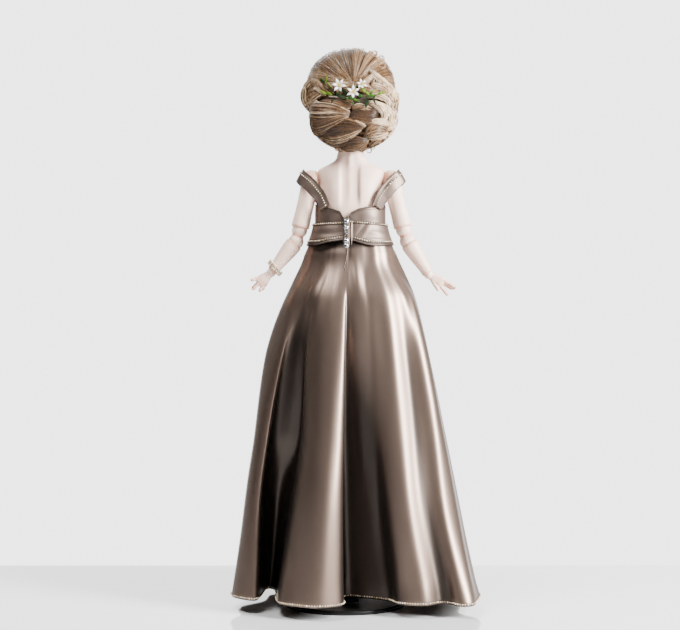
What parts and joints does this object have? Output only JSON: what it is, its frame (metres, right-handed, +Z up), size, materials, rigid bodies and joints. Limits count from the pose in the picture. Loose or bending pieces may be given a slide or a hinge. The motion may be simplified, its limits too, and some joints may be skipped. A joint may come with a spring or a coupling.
{
  "type": "fashion doll",
  "caption": "Ball-jointed fashion doll in a long satin gown with beaded trims and a flowered updo, held by the waist on a round display stand.",
  "frame": {"origin": "centre of the underside of the stand's base disc", "axes": "+Z up, the doll faces -Y, its left side is +X"},
  "size_m": [0.1935, 0.1885, 0.4238],
  "materials": {
    "resin_skin": "satin, blushed at the seams",
    "satin": "taupe duchess satin",
    "beads": "pearl ivory and pale gold",
    "hair": "blond-brown fibre",
    "wig_netting": "elastic net",
    "petal": "white, yellow centre",
    "leaf": "green",
    "glass_eye": "glossy",
    "black_metal": "black gloss",
    "steel_wire": "bright",
    "elastic": "matt, woven cover"
  },
  "bodies": {
    "stand": {"stand_base": "black_metal", "stand_post": "black_metal"},
    "knob": {"stand_knob": "black_metal"},
    "torso": {"stand_rod": "steel_wire", "waist_clip": "steel_wire", "torso_upper": "resin_skin", "torso_elastic": "elastic", "bodice": "satin", "midriff_band": "satin", "skirt": "satin", "placket": "satin", "bead_trim_upper": "beads", "bead_trim_lower": "beads", "hem_beads": "beads", "strap_left": "satin", "strap_right": "satin", "strap_beads_left": "beads", "strap_beads_right": "beads"},
    "pelvis": {"torso_lower": "resin_skin"},
    "neck": {"neck_hook": "steel_wire"},
    "head": {"head_shell": "resin_skin", "head_cap": "resin_skin", "eye_left": "glass_eye", "eye_right": "glass_eye", "wig_cap": "wig_netting", "wig_hair": "hair", "hair_clip": "steel_wire", "flower_sprig": "leaf", "lily_1": "petal", "lily_2": "petal", "lily_3": "petal"},
    "shoulder_left": {"shoulder_elastic_left": "elastic"},
    "upper_arm_left": {"upper_arm_left": "resin_skin", "arm_elastic_left": "elastic"},
    "elbow_left": {"elbow_left": "resin_skin"},
    "forearm_left": {"forearm_left": "resin_skin", "bracelet": "beads"},
    "wrist_left": {"wrist_hook_left": "steel_wire"},
    "hand_left": {"hand_left": "resin_skin"},
    "shoulder_right": {"shoulder_elastic_right": "elastic"},
    "upper_arm_right": {"upper_arm_right": "resin_skin", "arm_elastic_right": "elastic"},
    "elbow_right": {"elbow_right": "resin_skin"},
    "forearm_right": {"forearm_right": "resin_skin"},
    "wrist_right": {"wrist_hook_right": "steel_wire"},
    "hand_right": {"hand_right": "resin_skin"},
    "thigh_left": {"thigh_left": "resin_skin", "leg_elastic_left": "elastic"},
    "knee_left": {"knee_left": "resin_skin"},
    "shin_left": {"shin_left": "resin_skin"},
    "ankle_left": {"ankle_hook_left": "steel_wire"},
    "foot_left": {"foot_left": "resin_skin"},
    "thigh_right": {"thigh_right": "resin_skin", "leg_elastic_right": "elastic"},
    "knee_right": {"knee_right": "resin_skin"},
    "shin_right": {"shin_right": "resin_skin"},
    "ankle_right": {"ankle_hook_right": "steel_wire"},
    "foot_right": {"foot_right": "resin_skin"}
  },
  "joints": [
    {"name": "stand_height", "type": "slide", "parent": "stand", "child": "torso", "axis": [0, 0, 1], "range_m": [0, 0.04]},
    {"name": "knob_turn", "type": "hinge", "parent": "stand", "child": "knob", "pos_m": [-0.0048, 0.0155, 0.112], "axis": [0, 1, 0], "range_deg": [-90, 90]},
    {"name": "waist_bend", "type": "hinge", "parent": "torso", "child": "pelvis", "pos_m": [-0.0048, -0.012, 0.256], "axis": [-1, 0, 0], "range_deg": [-4, 6]},
    {"name": "neck_turn", "type": "hinge", "parent": "torso", "child": "neck", "pos_m": [-0.0048, -0.012, 0.3405], "axis": [0, 0, 1], "range_deg": [-75, 75]},
    {"name": "head_nod", "type": "hinge", "parent": "neck", "child": "head", "pos_m": [-0.0048, -0.012, 0.3405], "axis": [1, 0, 0], "range_deg": [-12, 18]},
    {"name": "shoulder_left_swing", "type": "hinge", "parent": "torso", "child": "shoulder_left", "pos_m": [0.0257, -0.012, 0.3232], "axis": [-1, 0, 0], "range_deg": [-25, 60], "deforming": ["strap_left", "strap_beads_left"]},
    {"name": "shoulder_left_raise", "type": "hinge", "parent": "shoulder_left", "child": "upper_arm_left", "pos_m": [0.0257, -0.012, 0.3232], "axis": [0, -1, 0], "range_deg": [0, 25]},
    {"name": "elbow_left_upper", "type": "hinge", "parent": "upper_arm_left", "child": "elbow_left", "pos_m": [0.03483, -0.012, 0.28426], "axis": [0, -1, 0], "range_deg": [-4, 50]},
    {"name": "elbow_left_lower", "type": "hinge", "parent": "elbow_left", "child": "forearm_left", "pos_m": [0.03765, -0.012, 0.2755], "axis": [0, -1, 0], "range_deg": [-8, 33]},
    {"name": "wrist_left_twist", "type": "hinge", "parent": "forearm_left", "child": "wrist_left", "pos_m": [0.05651, -0.012, 0.25178], "axis": [0.6225, 0, -0.7826], "range_deg": [-60, 60]},
    {"name": "wrist_left_bend", "type": "hinge", "parent": "wrist_left", "child": "hand_left", "pos_m": [0.05651, -0.012, 0.25178], "axis": [0, -1, 0], "range_deg": [-30, 30]},
    {"name": "shoulder_right_swing", "type": "hinge", "parent": "torso", "child": "shoulder_right", "pos_m": [-0.0352, -0.012, 0.3232], "axis": [-1, 0, 0], "range_deg": [-25, 60], "deforming": ["strap_right", "strap_beads_right"]},
    {"name": "shoulder_right_raise", "type": "hinge", "parent": "shoulder_right", "child": "upper_arm_right", "pos_m": [-0.0352, -0.012, 0.3232], "axis": [0, 1, 0], "range_deg": [0, 25]},
    {"name": "elbow_right_upper", "type": "hinge", "parent": "upper_arm_right", "child": "elbow_right", "pos_m": [-0.04528, -0.012, 0.28449], "axis": [0, 1, 0], "range_deg": [-4, 50]},
    {"name": "elbow_right_lower", "type": "hinge", "parent": "elbow_right", "child": "forearm_right", "pos_m": [-0.04825, -0.012, 0.27578], "axis": [0, 1, 0], "range_deg": [-10, 40]},
    {"name": "wrist_right_twist", "type": "hinge", "parent": "forearm_right", "child": "wrist_right", "pos_m": [-0.06453, -0.012, 0.25023], "axis": [-0.5373, 0, -0.8434], "range_deg": [-60, 60]},
    {"name": "wrist_right_bend", "type": "hinge", "parent": "wrist_right", "child": "hand_right", "pos_m": [-0.06453, -0.012, 0.25023], "axis": [0, 1, 0], "range_deg": [-30, 20]},
    {"name": "hip_left_swing", "type": "hinge", "parent": "pelvis", "child": "thigh_left", "pos_m": [0.0102, -0.012, 0.222], "axis": [-1, 0, 0], "range_deg": [-5, 12]},
    {"name": "knee_left_upper", "type": "hinge", "parent": "thigh_left", "child": "knee_left", "pos_m": [0.0102, -0.012, 0.127], "axis": [1, 0, 0], "range_deg": [0, 12]},
    {"name": "knee_left_lower", "type": "hinge", "parent": "knee_left", "child": "shin_left", "pos_m": [0.0102, -0.012, 0.117], "axis": [1, 0, 0], "range_deg": [0, 12]},
    {"name": "ankle_left_twist", "type": "hinge", "parent": "shin_left", "child": "ankle_left", "pos_m": [0.0102, -0.012, 0.026], "axis": [0, 0, 1], "range_deg": [-8, 8]},
    {"name": "ankle_left_bend", "type": "hinge", "parent": "ankle_left", "child": "foot_left", "pos_m": [0.0102, -0.012, 0.026], "axis": [-1, 0, 0], "range_deg": [-5, 15]},
    {"name": "hip_right_swing", "type": "hinge", "parent": "pelvis", "child": "thigh_right", "pos_m": [-0.0198, -0.012, 0.222], "axis": [-1, 0, 0], "range_deg": [-5, 12]},
    {"name": "knee_right_upper", "type": "hinge", "parent": "thigh_right", "child": "knee_right", "pos_m": [-0.0198, -0.012, 0.127], "axis": [1, 0, 0], "range_deg": [0, 12]},
    {"name": "knee_right_lower", "type": "hinge", "parent": "knee_right", "child": "shin_right", "pos_m": [-0.0198, -0.012, 0.117], "axis": [1, 0, 0], "range_deg": [0, 12]},
    {"name": "ankle_right_twist", "type": "hinge", "parent": "shin_right", "child": "ankle_right", "pos_m": [-0.0198, -0.012, 0.026], "axis": [0, 0, 1], "range_deg": [-8, 8]},
    {"name": "ankle_right_bend", "type": "hinge", "parent": "ankle_right", "child": "foot_right", "pos_m": [-0.0198, -0.012, 0.026], "axis": [-1, 0, 0], "range_deg": [-5, 15]}
  ]
}
